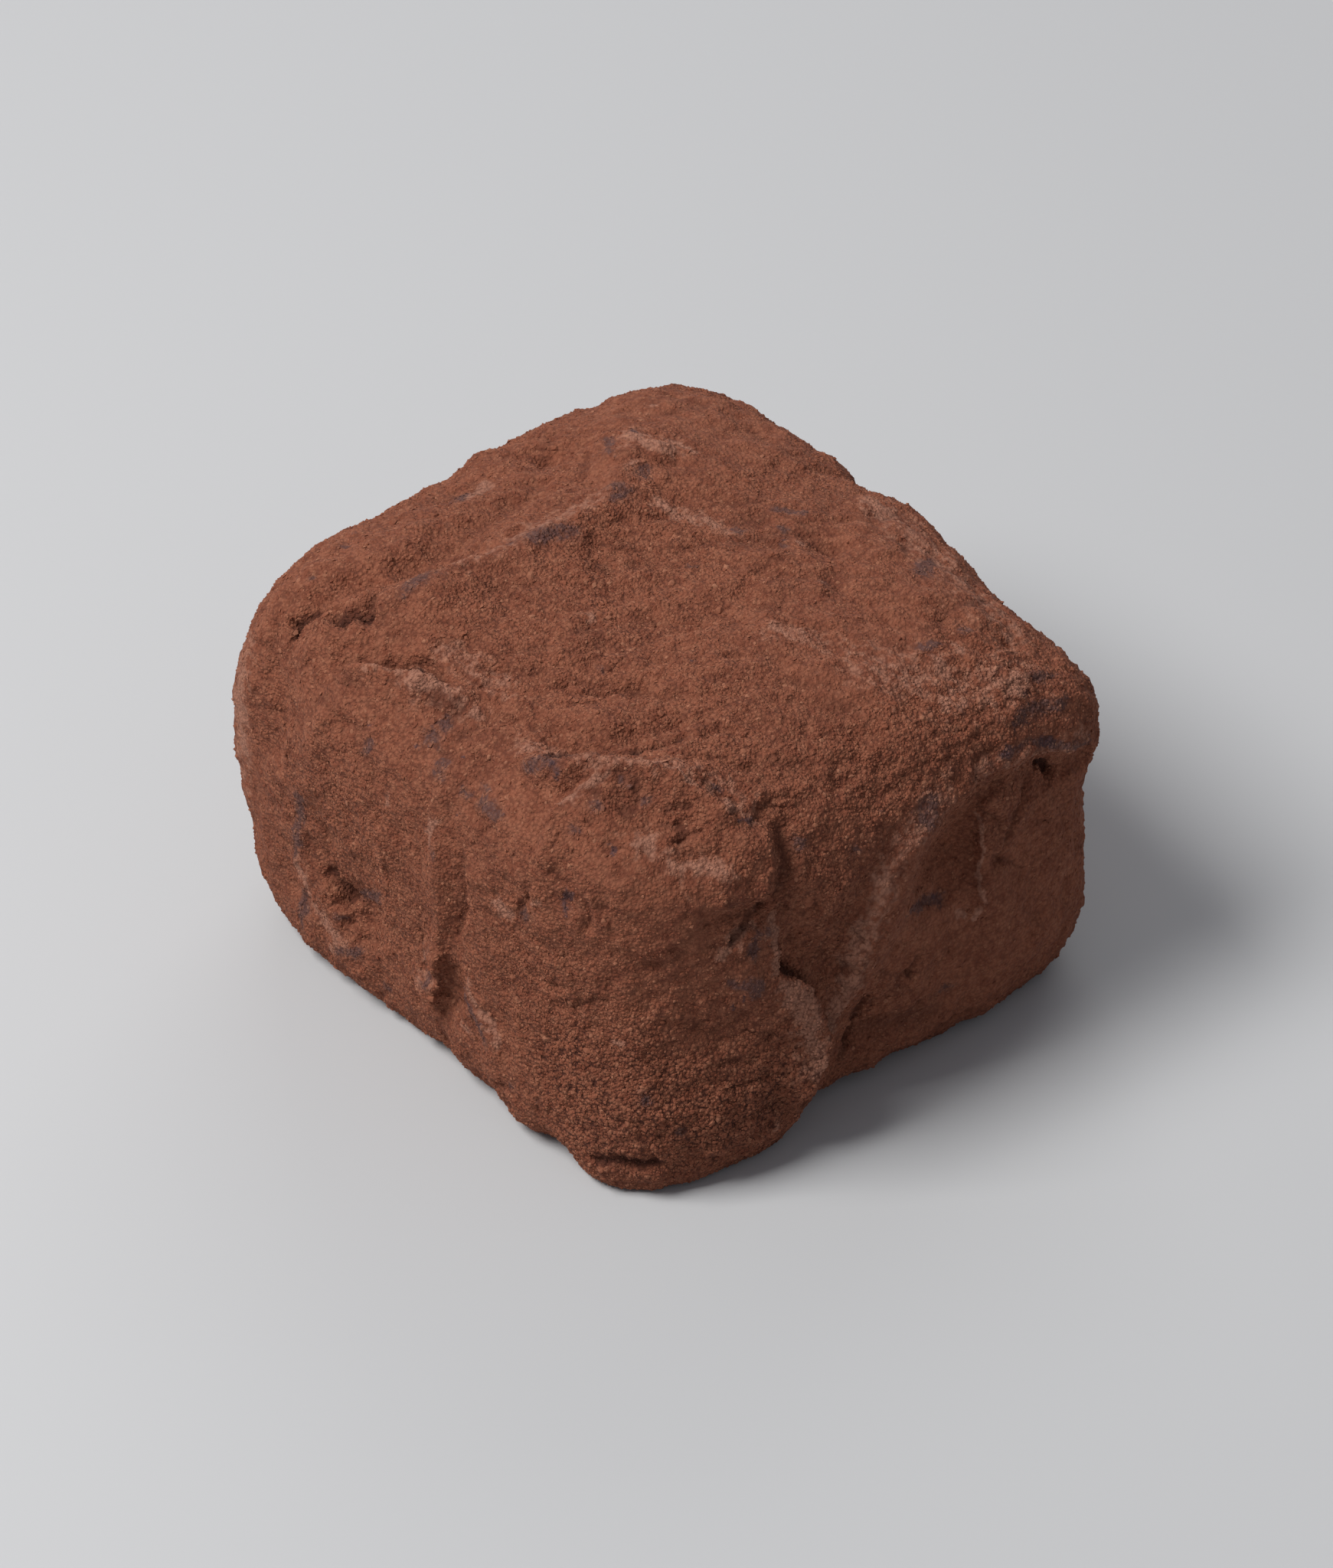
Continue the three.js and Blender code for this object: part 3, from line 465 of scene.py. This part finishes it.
thin = spread([
    ([top(-8.1, 3.9), top(-7.1, 3.5)], 0.35), ([top(-5.3, 3.5)], 0.4), ([top(-0.7, 4.4)], 0.4),
    ([top(-0.3, 7.1), top(-0.9, 6.3)], 0.25), ([top(0.2, 5.8)], 0.22),
    ([top(0.6, 5.5), top(1.1, 5.1)], 0.24), ([top(-4.7, 2.2), top(-4.7, 1.3)], 0.3), ([top(-5.3, 2)], 0.5),
    ([top(-0.4, 1.7), top(0.1, 1.7)], 0.12), ([top(4.7, 9.3), top(5.2, 8.4)], 0.5), ([top(8.7, 7.6)], 0.35),
    ([top(8.6, 6.1), top(8.5, 5.5)], 0.32), ([top(11.4, 9), top(11.6, 9.6)], 0.3), ([top(11.8, 7.9)], 0.3),
    ([top(3.6, 4.9)], 0.25), ([top(-4.2, -1), top(-4.8, -2.4)], 0.45), ([top(-5.4, -3)], 0.3),
    ([top(-6, -6.8), top(-5.6, -7.8)], 0.45), ([top(-5.6, -6.3)], 0.3), ([top(-10.3, -7.2)], 0.3),
    ([top(-9.7, -9.1)], 0.3), ([top(-0.1, -10.5)], 0.5), ([top(4.2, -1.9)], 0.22), ([top(2.1, -4.7)], 0.22),
    ([top(7.4, -9.3)], 0.3), ([top(7.6, -8.2)], 0.25), ([top(8.6, -7.9)], 0.25), ([top(1, -11.2)], 0.4),
    ([top(3, -11)], 0.3), ([top(4.3, -9.8), top(5.4, -9.4)], 0.3),
    ([top(-10, -1.7), top(-9.5, -2.3)], 0.35), ([front(-0.1, 15.2)], 0.5), ([front(1, 14.6)], 0.35),
    ([front(2.4, 14.4)], 0.3), ([front(1.8, 11.4)], 0.3), ([front(3.2, 14.4), front(4.3, 14.7)], 0.3),
    ([front(-2.5, 14)], 0.45), ([front(7.4, 15.4)], 0.3), ([front(-1.8, 6.9), front(-3.7, 5.2)], 0.35),
    ([front(-6.4, 9), front(-7, 6.5), front(-7.4, 5.3)], 0.35), ([front(-4.4, 3.9)], 0.3),
    ([front(-4.5, 2.3), front(-3.3, 3)], 0.3), ([front(-2.2, 1.8)], 0.3),
    ([front(-6.9, 2.2), front(-6.9, 3.6)], 0.3), ([front(3, 5.3), front(3.8, 4.7), front(4.5, 3.8)], 0.35),
    ([front(1, 5.6), front(0.9, 4.6)], 0.25), ([front(6.4, 11.2)], 0.35), ([front(5.9, 2.4)], 0.3),
    ([right(-10.3, 4.9)], 0.36), ([right(-9.3, 3.3)], 0.3), ([right(-6.8, 9.4), right(-5.9, 8.8)], 0.35),
    ([right(-3.4, 14)], 0.5), ([right(-1.3, 13.2)], 0.45), ([right(2.6, 13.4), right(1.8, 13)], 0.5),
    ([right(1.3, 8.9), right(3.2, 8.3)], 0.4), ([right(3.2, 3.7)], 0.4),
    ([right(7.2, 14.4), right(8.6, 14.4), right(9.4, 14.2)], 0.45),
    ([right(6, 13.7), right(7.4, 13.4), right(8.6, 13), right(10, 12.4), right(10.9, 11.6)], 0.26),
    ([right(-5.4, 11.2), right(-6.2, 10.4)], 0.3), ([back(-4, 14), back(-5.4, 13.4)], 0.4),
    ([back(6, 13.2), back(7.6, 13.4)], 0.35), ([back(-6.5, 7)], 0.45),
    ([back(1, 4.6), back(2.2, 3.8)], 0.4), ([back(9.8, 6.8)], 0.4),
    ([back(-10, 4.6), back(-9.6, 3.4)], 0.35), ([left(5.4, 13.2), left(4, 12.8)], 0.4),
    ([left(-7.6, 12.8)], 0.35), ([left(-2.6, 5.6), left(-3.2, 4.4)], 0.45), ([left(7.6, 5.6)], 0.4),
    ([left(2.2, 9.4), left(2.4, 8)], 0.35), ([left(-9.8, 5.8)], 0.35),
])
# Pale pressed cake of powder, and painted highlights where rims, ridges and slopes should catch more light.
cake_and_painted_highlight = spread([
    ([top(-7.6, 4.7), top(-6.3, 4.9)], 0.5), ([top(-6.3, 5.6), top(-5.4, 5.9)], 0.3), ([top(-6, 3.4)], 0.3),
    ([top(-9, 6.9)], 0.3), ([top(-3.9, 3), top(-2.6, 3.6), top(-1.5, 3.9)], 0.28), ([top(-1.3, 4.3)], 0.25),
    ([top(2, 9.9), top(0.6, 10)], 0.35), ([top(1.3, 5.8)], 0.25), ([top(9.1, 6.9)], 0.35),
    ([top(9.8, 5.5), top(9.2, 5.9)], 0.3), ([top(11.4, 8.1), top(11.8, 7.3)], 0.4), ([top(10.9, 4.9)], 0.5),
    ([top(-10, -0.8), top(-9.5, -1.7)], 0.4), ([top(-0.4, -3.4)], 0.35), ([top(-2.6, -8.4)], 0.35),
    ([top(7.3, -7.1), top(8.2, -6.6), top(9.2, -6)], 0.22), ([top(10.5, -5.5)], 0.35),
    ([top(11.2, -4.8)], 0.3), ([top(9.5, -8.9), top(9.9, -8.6)], 0.4), ([top(3.5, -9.4)], 0.3),
    ([top(0.6, -9.6)], 0.35), ([top(6.5, -9.9), top(7, -8.4)], 0.2),
    ([front(-10.9, 12), front(-11, 8)], 0.8), ([front(-5.2, 3.7)], 0.45), ([front(-4.9, 2.3)], 0.3),
    ([front(1.4, 12.9), front(1.4, 11.6)], 0.2), ([front(5.3, 11)], 0.45), ([front(1, 5.8)], 0.25),
    ([front(3, 6), front(3.9, 5.2), front(5.2, 4.2)], 0.2), ([front(4.6, 4.6)], 0.3),
    ([front(3, 3.5)], 0.3), ([front(6.8, 12)], 0.3), ([front(-1.2, 12.4)], 0.3),
    ([right(-7.9, 14.6), right(-6.7, 14.2)], 0.45),
    ([right(-7.3, 10.7), right(-6.6, 11.2), right(-5.8, 11.6)], 0.3),
    ([right(-5.2, 11.6), right(-5, 10.4), right(-5.1, 9.3)], 0.35),
    ([front(-7.2, 4.8), front(-6, 3.6), front(-4.6, 2.8)], 0.5),
    ([right(-1.6, 7.4), right(-2.3, 5.6), right(-3.1, 4.2)], 0.5), ([top(-2, -10.2), top(-0.8, -9.8)], 0.4),
    ([right(-5, 7.8), right(-4.4, 7)], 0.35),
    ([right(-4.8, 8.3), right(-4.1, 7), right(-3.7, 5.6), right(-4, 4)], 0.55), ([front(10.3, 7)], 0.3),
    ([right(-0.2, 11.2), right(0, 11.6)], 0.3), ([right(-1.2, 9.5), right(-2, 8)], 0.3),
    ([right(5.1, 11.2), right(5, 9.5), right(4.8, 7.9), right(4.6, 6.5)], 0.12), ([right(4, 7)], 0.4),
    ([right(7.2, 12.5), right(9, 12.2), right(10.4, 11.5)], 0.25), ([right(7.7, 15.4)], 0.4),
    ([right(-5.4, 2)], 0.3), ([back(-1.2, 12.2), back(-1, 10.4)], 0.3), ([back(-7, 11.2)], 0.45),
    ([back(8.8, 11)], 0.4), ([left(0, 11.8), left(0.2, 9.6)], 0.3), ([left(7, 11)], 0.45),
    ([left(-6, 9.4)], 0.4),
])
# Pale dust, and painted highlights on lit ridges, rims and the far part of the top.
dust_and_painted_highlight = spread([
    ([right(3.1, 13.6), right(1, 12.6), right(0.1, 11.6), right(-0.4, 10.4), right(-1, 9.2),
      right(-1.5, 7.9), right(-1.7, 6.2), right(-2.6, 5.1), right(-3.4, 4)], 0.8),
    ([top(8.4, 3.4), top(9.8, 4.6), top(10.8, 6.2), top(11.2, 8)], 1.8),
    ([right(5, 13.4), right(10, 12.6)], 0.6), ([top(11, -5), right(-4.6, 15.6)], 0.5),
    ([right(-4.9, 8), right(-4.2, 6), right(-4.3, 4)], 0.6), ([top(-2.2, -10.3), top(0, -9.6)], 0.7),
    ([top(3, -9.4), top(6.3, -8.3), top(8.8, -5.9), top(10.6, -4.6)], 0.6),
    ([top(-5.2, 1.2), top(-5.2, -2), top(-5.6, -5.6)], 0.7), ([top(-2.3, -8.3), top(0.4, -8)], 0.8),
    ([top(-4, 3), top(-1, 4.2)], 0.6), ([top(4.8, 1.5), top(6.4, 2.6)], 0.7),
    ([front(-11, 13), front(-11.4, 6)], 1), ([front(0.6, 4), front(1.2, 6.4)], 0.5),
    ([top(-1.8, -9.9), top(-4, -10.9)], 0.4), ([top(-7.4, 4.6), top(-6, 5.2)], 0.9),
    ([top(9.6, -8.8), right(-7.6, 14.2)], 0.8), ([top(1, 10), top(9, 9.6)], 1.4),
    ([back(-6, 12), back(2, 13.4)], 1), ([left(6, 11), left(9, 6)], 1.2),
])
cake_and_painted_highlight = np.maximum(cake_and_painted_highlight, 0.6 * dust_and_painted_highlight)  # dust and painted highlight, weaker than the cake
specks = spread([
    ([top(9.1, -9.7)], 0.24), ([top(-1, 4.5)], 0.16), ([top(-7.6, 4.9)], 0.14), ([top(-4.7, 1.8)], 0.14),
    ([top(-5.2, -2.2)], 0.1), ([top(9.4, -5.6), top(9.9, -5.3)], 0.1), ([top(-10.8, -6.4)], 0.12),
    ([top(4.4, -9.9)], 0.14), ([top(5.4, -9.5)], 0.14), ([front(8.3, 13.2), front(8, 12.3)], 0.16),
    ([front(6.9, 11.5)], 0.1), ([front(-0.4, 14.8)], 0.12), ([front(1.4, 15.3)], 0.1),
    ([front(2.4, 13.6)], 0.14), ([front(-2.9, 14.7)], 0.14), ([front(3.4, 5.1)], 0.12),
    ([front(4.2, 4.5)], 0.12), ([front(4.4, 4)], 0.12), ([right(-7, 8.2)], 0.17), ([right(-6.4, 8.5)], 0.1),
    ([right(-5.7, 8.3)], 0.11), ([right(0.2, 13.9)], 0.15), ([right(6.2, 13.7)], 0.26),
    ([right(8.2, 13.2), right(8.7, 13)], 0.2), ([right(10.7, 12)], 0.2),
    ([right(-5.2, 15.6), right(-4.8, 15.4)], 0.14), ([right(-10.3, 4.9)], 0.14), ([right(2.9, 8.5)], 0.16),
    ([back(5, 9.6)], 0.16), ([back(-7.4, 9.2)], 0.14), ([back(2, 12.8)], 0.12), ([back(-3.8, 4.4)], 0.14),
    ([left(3, 7)], 0.15), ([left(-5, 10)], 0.13), ([left(8.4, 8.2)], 0.12), ([left(-7.8, 4.6)], 0.14),
])

# The block's own unevenness, the drag of the wiping palm over the top, dimples, rumples and creases where
# the crust crept, and the clumps of the powder. Each wave has a size in mm and a seed of its own.
upward = stepping(facing[:, 2], 0.6, 0.9)
along_wipe = np.array([0.63, 0.77, 0])
warped = spots + 1.5 * wander
wiped = warped - (0.35 + 0.3 * upward)[:, None] * (warped @ along_wipe)[:, None] * along_wipe


def creased(points, size, seed, width):
    """From 0 to 1, thin meandering lines, in some places only."""
    line = fading(wave(points, size, seed), width)
    return line * stepping(wave(spots, 1.7 * size, seed + 1), 0.02, 0.35)


swells = 0.15 * wave(warped, 3.2, 40) + 0.11 * wave(warped, 1.9, 41)
wipes = (0.05 + 0.07 * upward) * wave(wiped, 0.5, 3) + (0.03 + 0.12 * upward) * wave(wiped, 1.3, 7)
clods = 0.08 * wave(warped, 1.1, 1) + (0.05 + 0.03 * grit) * wave(warped, 0.6, 2)
crumbs = (0.015 + 0.032 * grit + 0.03 * crumbly) * (wave(spots, 0.34, 4) + 0.6 * wave(wiped, 0.27, 6))
rumpled = spread([
    ([top(8, -8), right(-7.6, 14)], 2.2), ([top(0, -10), front(1, 14)], 1.4), ([top(0, 6)], 1.6),
])
rumples = rumpled * wave(warped, 0.75, 90)
dimples = stepping(wave(warped, 1, 80), 0.25, 0.6)
creases = np.maximum(creased(wiped, 1.9, 50, 0.07), 0.8 * creased(warped, 1.2, 60, 0.09))
lumps = stepping(wave(warped, 0.8, 70), 0.22, 0.42)
rumple_rise, lump_rise, dimple_depth, crease_depth = 0.11, 0.06, 0.08, 0.11
powder_sink = 0.06  # which keeps the coat within the solid's size
height += swells + wipes + clods + crumbs + rumple_rise * rumples + lump_rise * lumps
height -= dimple_depth * dimples + crease_depth * creases + powder_sink
# Painted shade in the hollows of the creases, dimples, wipes and rumples.
shade = np.maximum.reduce([
    shade, 0.45 * creases, 0.3 * dimples, 0.35 * stepping(-wipes, 0.02, 0.12),
    0.5 * stepping(-rumples, 0.12, 0.4),
])
above_base = stepping(spots[:, 2], 0.05, 0.6)  # the base stays flat
spots += facing * (height * above_base)[:, None]
spots[:, 2] = np.maximum(spots[:, 2], 0)
coat.data.vertices.foreach_set("co", (spots * mm).astype(np.float32).ravel())
coat.data.update()
facing = read_values(coat.data.vertices, "normal", 3)


def write_value(piece, name, values):
    layer = piece.data.attributes.new(name, "FLOAT", "POINT")
    layer.data.foreach_set("value", np.clip(values, -2, 2).astype(np.float32))


powder_state = {"thin": thin, "cake_and_painted_highlight": cake_and_painted_highlight, "specks": specks, "shade": shade}
for name, values in powder_state.items():
    write_value(coat, name, values)
write_value(coat, "rough", 0.55 + 0.45 * grit + 0.7 * gravelly)

# ---- The cocoa powder ----------------------------------------------------------------------------------
# Dry cocoa over dark ganache, fully matte. It is mottled red-brown, pale where it is pressed into a cake,
# grey-brown where it is thin, with painted highlights on lit rims, ridges and granule crowns, and painted
# shade in the cracks, the hollows and between its granules. The coat and the loose grains both wear it.
cocoa = bpy.data.materials.new("cocoa_powder")
cocoa.use_nodes = True
nodes = cocoa.node_tree.nodes
links = cocoa.node_tree.links
place = nodes.new("ShaderNodeTexCoord")


def state(name):
    """A value written on the mesh, or 0 on a piece that hasn't got it."""
    reader = nodes.new("ShaderNodeAttribute")
    reader.attribute_name = name
    return reader.outputs["Fac"]


def mottle(size, detail=2.0):
    """Noise whose blotches are about a size in mm."""
    texture = nodes.new("ShaderNodeTexNoise")
    texture.inputs["Scale"].default_value = 1 / (size * mm)
    texture.inputs["Detail"].default_value = detail
    links.new(place.outputs["Object"], texture.inputs["Vector"])
    return texture.outputs["Fac"]


def combine(operation, first, second):
    sum_node = nodes.new("ShaderNodeMath")
    sum_node.operation = operation
    for socket, value in zip(sum_node.inputs, (first, second)):
        if isinstance(value, (int, float)):
            socket.default_value = value
        else:
            links.new(value, socket)
    return sum_node.outputs[0]


def between(value, low, high, to_low=0.0, to_high=1.0):
    """Where a value lies between two others, stretched to another two."""
    scale = nodes.new("ShaderNodeMapRange")
    scale.interpolation_type = "SMOOTHSTEP"
    links.new(value, scale.inputs["Value"])
    for socket, number in zip(("From Min", "From Max", "To Min", "To Max"), (low, high, to_low, to_high)):
        scale.inputs[socket].default_value = number
    return scale.outputs["Result"]


def blended(share, first, second):
    mixer = nodes.new("ShaderNodeMix")
    mixer.data_type = "RGBA"
    links.new(share, mixer.inputs["Factor"])
    for socket, colour in zip((mixer.inputs[6], mixer.inputs[7]), (first, second)):
        if isinstance(colour, tuple):
            socket.default_value = (*colour, 1)
        else:
            links.new(colour, socket)
    return mixer.outputs[2]


red_brown, warm_brown = (0.186, 0.0585, 0.0312), (0.236, 0.079, 0.0425)
dull_brown, light_brown, dark_brown = (0.152, 0.048, 0.027), (0.250, 0.091, 0.050), (0.158, 0.046, 0.024)
powder = blended(between(mottle(1.1), 0.35, 0.65), red_brown, warm_brown)
powder = blended(between(mottle(2.4), 0.45, 0.7, 0, 0.4), powder, dull_brown)
powder = blended(between(mottle(0.35), 0.4, 0.65, 0, 0.8), powder, light_brown)
powder = blended(between(mottle(0.5), 0.5, 0.75, 0, 0.7), powder, dark_brown)


def patchy(amount, size, low, high, most):
    """A state broken up by noise, from 0 to most."""
    rough = combine("MULTIPLY", combine("SUBTRACT", mottle(size, 3), 0.5), 1.8)
    return between(combine("ADD", amount, rough), low, high, 0, most)


pale_cake_and_highlight, thin_coat, bare_ganache = (0.338, 0.160, 0.107), (0.145, 0.066, 0.046), (0.074, 0.042, 0.042)
bare_speck, painted_shade_colour = (0.075, 0.040, 0.042), (0.035, 0.011, 0.007)
# Pale cake of powder, and painted highlight.
powder = blended(patchy(state("cake_and_painted_highlight"), 0.35, 0.28, 0.95, 0.76), powder, pale_cake_and_highlight)
powder = blended(between(state("thin"), 0.1, 1, 0, 0.45), powder, thin_coat)
powder = blended(patchy(state("thin"), 0.16, 0.5, 0.95, 0.66), powder, bare_ganache)
powder = blended(patchy(state("specks"), 0.2, 0.3, 0.8, 0.85), powder, bare_speck)
# Painted shade: cracks, pits and hollows darkened towards a near-black brown.
powder = blended(between(state("shade"), 0.1, 0.9, 0, 0.9), powder, painted_shade_colour)

# Each loose grain has a tone of its own, and the coat has finer granules, with painted highlights on their
# crowns and painted shade in the gaps between them.
pale_grain, dark_grain_and_gap_shade, crown_highlight_colour = (0.38, 0.172, 0.100), (0.085, 0.026, 0.015), (0.36, 0.155, 0.088)
granule_size, granule_relief = 0.16 * mm, 0.1 * mm
powder = blended(between(state("tone"), 0, 1, 0, 0.6), powder, pale_grain)
powder = blended(between(combine("MULTIPLY", state("tone"), -1), 0, 1, 0, 0.5), powder, dark_grain_and_gap_shade)
granules = nodes.new("ShaderNodeTexVoronoi")
granules.inputs["Scale"].default_value = 1 / granule_size
links.new(place.outputs["Object"], granules.inputs["Vector"])
# Painted shade in the gaps between the granules.
painted_gap_shade = combine("MULTIPLY", between(granules.outputs["Distance"], 0.4, 0.8, 0, 0.7), state("rough"))
powder = blended(painted_gap_shade, powder, dark_grain_and_gap_shade)
# Painted highlight on the granules' crowns.
painted_crown_highlight = combine("MULTIPLY", between(granules.outputs["Distance"], 0.05, 0.35, 0.4, 0), state("rough"))
powder = blended(painted_crown_highlight, powder, crown_highlight_colour)
shader = nodes["Principled BSDF"]
links.new(powder, shader.inputs["Base Color"])
shader.inputs["Roughness"].default_value = 0.95
shader.inputs["Specular IOR Level"].default_value = 0.2
domes = combine("MULTIPLY", granules.outputs["Distance"], -1)
bump = nodes.new("ShaderNodeBump")
bump.inputs["Distance"].default_value = granule_relief
links.new(state("rough"), bump.inputs["Strength"])
links.new(combine("ADD", domes, mottle(0.09)), bump.inputs["Height"])
links.new(bump.outputs["Normal"], shader.inputs["Normal"])
coat.data.materials.clear()
coat.data.materials.append(cocoa)
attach(coat, "root")
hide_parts("truffle")

# ---- The loose grains --------------------------------------------------------------------------------
# The cocoa stuck last: single grains and small clumps, half sunk in the coat. They lie thickest where the
# powder is coarse. Each kind is one mesh of many low lumps.
coat.data.calc_loop_triangles()
corners = read_values(coat.data.loop_triangles, "vertices", 3).astype(int)
sides = spots[corners]
areas = np.linalg.norm(np.cross(sides[:, 1] - sides[:, 0], sides[:, 2] - sides[:, 0]), axis=1) / 2
lowest, clearance = 0.12, 0.02  # mm above the ground, of the coat under a grain and of the grain itself
darkest = 0.45  # the deepest painted shade that a grain lies in: the bottoms of cracks stay free of grains
tilting, unevenness = 0.25, 0.22  # how much lumps lean and how much they differ in width
slightest, fullest = (0.85, 0.8, 0.5), (1.4, 1.15, 0.85)  # of the width: a lump's length, breadth and rise
knobbly = (0.78, 1.18)  # how far its points lie from its middle, for a round lump's 1
tones = (0.06, 0.3)  # the usual tone, where 0 is the coat's, and its spread


def lump_form(rings):
    """A round lump 1 across: two poles, and between them rings of five points."""
    radius, spokes = 0.5, 5
    points = [(0, 0, -radius)]
    for ring in range(rings):
        tilt = math.pi * ((ring + 1) / (rings + 1) - 0.5)
        for spoke in range(spokes):
            turn = math.tau * (spoke + ring / 2) / spokes
            ring_radius = radius * math.cos(tilt)
            around = (ring_radius * math.cos(turn), ring_radius * math.sin(turn))
            points.append((*around, radius * math.sin(tilt)))
    points.append((0, 0, radius))
    hull = bmesh.new()
    for point in points:
        hull.verts.new(point)
    bmesh.ops.convex_hull(hull, input=hull.verts)
    hull.verts.index_update()
    faces = [[v.index for v in f.verts] for f in hull.faces]
    hull.free()
    return np.array(points), np.array(faces)


def scatter(name, count, size, seed, sunk, clumped, rings=1):
    """Many lumps of one kind over the coat. Size is their usual width in mm, and sunk a share of it."""
    draw = np.random.default_rng(seed)
    form, faces = lump_form(rings)
    weight = areas * ((1 - clumped) + clumped * grit[corners].mean(1) ** 1.5)
    weight *= (sides[:, :, 2].min(1) > lowest) * (shade[corners].mean(1) < darkest)
    chosen = draw.choice(len(areas), count, p=weight / weight.sum())
    shares = draw.dirichlet((1, 1, 1), count)
    middles = (sides[chosen] * shares[:, :, None]).sum(1)
    out = (facing[corners[chosen]] * shares[:, :, None]).sum(1) + draw.normal(0, tilting, (count, 3))
    out /= np.linalg.norm(out, axis=1)[:, None]
    sideways = np.cross(out, draw.normal(0, 1, (count, 3)))
    sideways /= np.linalg.norm(sideways, axis=1)[:, None]
    axes = np.stack([sideways, np.cross(out, sideways), out], 1)
    widths = size * draw.lognormal(0, unevenness, count)
    stretches = widths[:, None] * draw.uniform(slightest, fullest, (count, 3))
    knobs = form[None] * draw.uniform(*knobbly, (count, len(form), 1))
    points = np.einsum("nvi,ni,nij->nvj", knobs, stretches, axes)
    points += (middles - out * (sunk * widths)[:, None])[:, None]
    points[:, :, 2] = np.maximum(points[:, :, 2], clearance)
    every = (faces[None] + (np.arange(count) * len(form))[:, None, None]).reshape(-1, faces.shape[1])
    mesh = bpy.data.meshes.new(name)
    mesh.from_pydata((points.reshape(-1, 3) * mm).tolist(), [], every.tolist())
    grains = bpy.data.objects.new(name, mesh)
    scene.collection.objects.link(grains)
    for state_name, values in powder_state.items():
        write_value(grains, state_name, np.repeat((values[corners[chosen]] * shares).sum(1), len(form)))
    write_value(grains, "tone", np.repeat(draw.normal(*tones, count), len(form)))
    mesh.materials.append(cocoa)
    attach(grains, "root")


many, few = 19500, 3000
scatter("dust", many, size=0.10, seed=10, sunk=0.04, clumped=0.35)
scatter("fine_grains", many, size=0.115, seed=11, sunk=0.04, clumped=0.6)
scatter("grains", many, size=0.13, seed=12, sunk=0.05, clumped=0.8)
scatter("coarse_grains", many, size=0.16, seed=13, sunk=0.07, clumped=0.95)
scatter("clumps", few, size=0.21, seed=14, sunk=0.12, clumped=0.97, rings=2)

# ---- The studio --------------------------------------------------------------------------------------
# A light grey paper floor, lit by a soft lamp from the front left, a weak one from behind, and an even room
# of slightly cool white.
floor_half = 0.75  # m
floor_mesh = bpy.data.meshes.new("floor")
plane = bmesh.new()
bmesh.ops.create_grid(plane, x_segments=1, y_segments=1, size=floor_half)
plane.to_mesh(floor_mesh)
plane.free()
floor = bpy.data.objects.new("floor", floor_mesh)
scene.collection.objects.link(floor)
paper = bpy.data.materials.new("floor_paper")
paper.use_nodes = True
paper.node_tree.nodes["Principled BSDF"].inputs["Base Color"].default_value = (0.5, 0.5, 0.5, 1)
paper.node_tree.nodes["Principled BSDF"].inputs["Roughness"].default_value = 0.9
floor_mesh.materials.append(paper)


def direction(azimuth, elevation):
    """The way towards a light or the camera, in degrees. Azimuth 0 is in front, and 90 on the right."""
    a, e = math.radians(azimuth), math.radians(elevation)
    return Vector((math.sin(a) * math.cos(e), -math.cos(a) * math.cos(e), math.sin(e)))


aim = Vector((0.19, 0.07, 7.16)) * mm  # near the truffle's middle


def soft_light(name, azimuth, elevation, distance, size, power):
    """A square lamp that looks at the truffle. Its distance and size are in metres, its power in watts."""
    lamp = bpy.data.lights.new(name, "AREA")
    lamp.shape = "SQUARE"
    lamp.size = size
    lamp.energy = power
    stand = bpy.data.objects.new(name, lamp)
    towards = direction(azimuth, elevation)
    stand.location = aim + towards * distance
    stand.rotation_euler = towards.to_track_quat("Z", "Y").to_euler()
    scene.collection.objects.link(stand)


soft_light("key", azimuth=-22, elevation=55, distance=0.30, size=0.14, power=0.98)
soft_light("from_behind", azimuth=222, elevation=24, distance=0.40, size=0.30, power=0.5)
world = bpy.data.worlds.new("room")
world.use_nodes = True
world.node_tree.nodes["Background"].inputs["Color"].default_value = (0.97, 1, 1.1, 1)
world.node_tree.nodes["Background"].inputs["Strength"].default_value = 0.25
scene.world = world
scene.view_settings.view_transform = "Standard"

# ---- The camera --------------------------------------------------------------------------------------
# A long lens over the front corner, tilted down.
view_azimuth, view_elevation = 50.7, 40.5  # degrees
view_distance = 353 * mm
lens = bpy.data.cameras.new("camera")
lens.sensor_width = 36
lens.lens = 210.9
lens.clip_start = 0.01
camera = bpy.data.objects.new("camera", lens)
camera.location = aim + direction(view_azimuth, view_elevation) * view_distance
camera.rotation_euler = (math.radians(90 - view_elevation), 0, math.radians(view_azimuth))
scene.collection.objects.link(camera)
scene.camera = camera
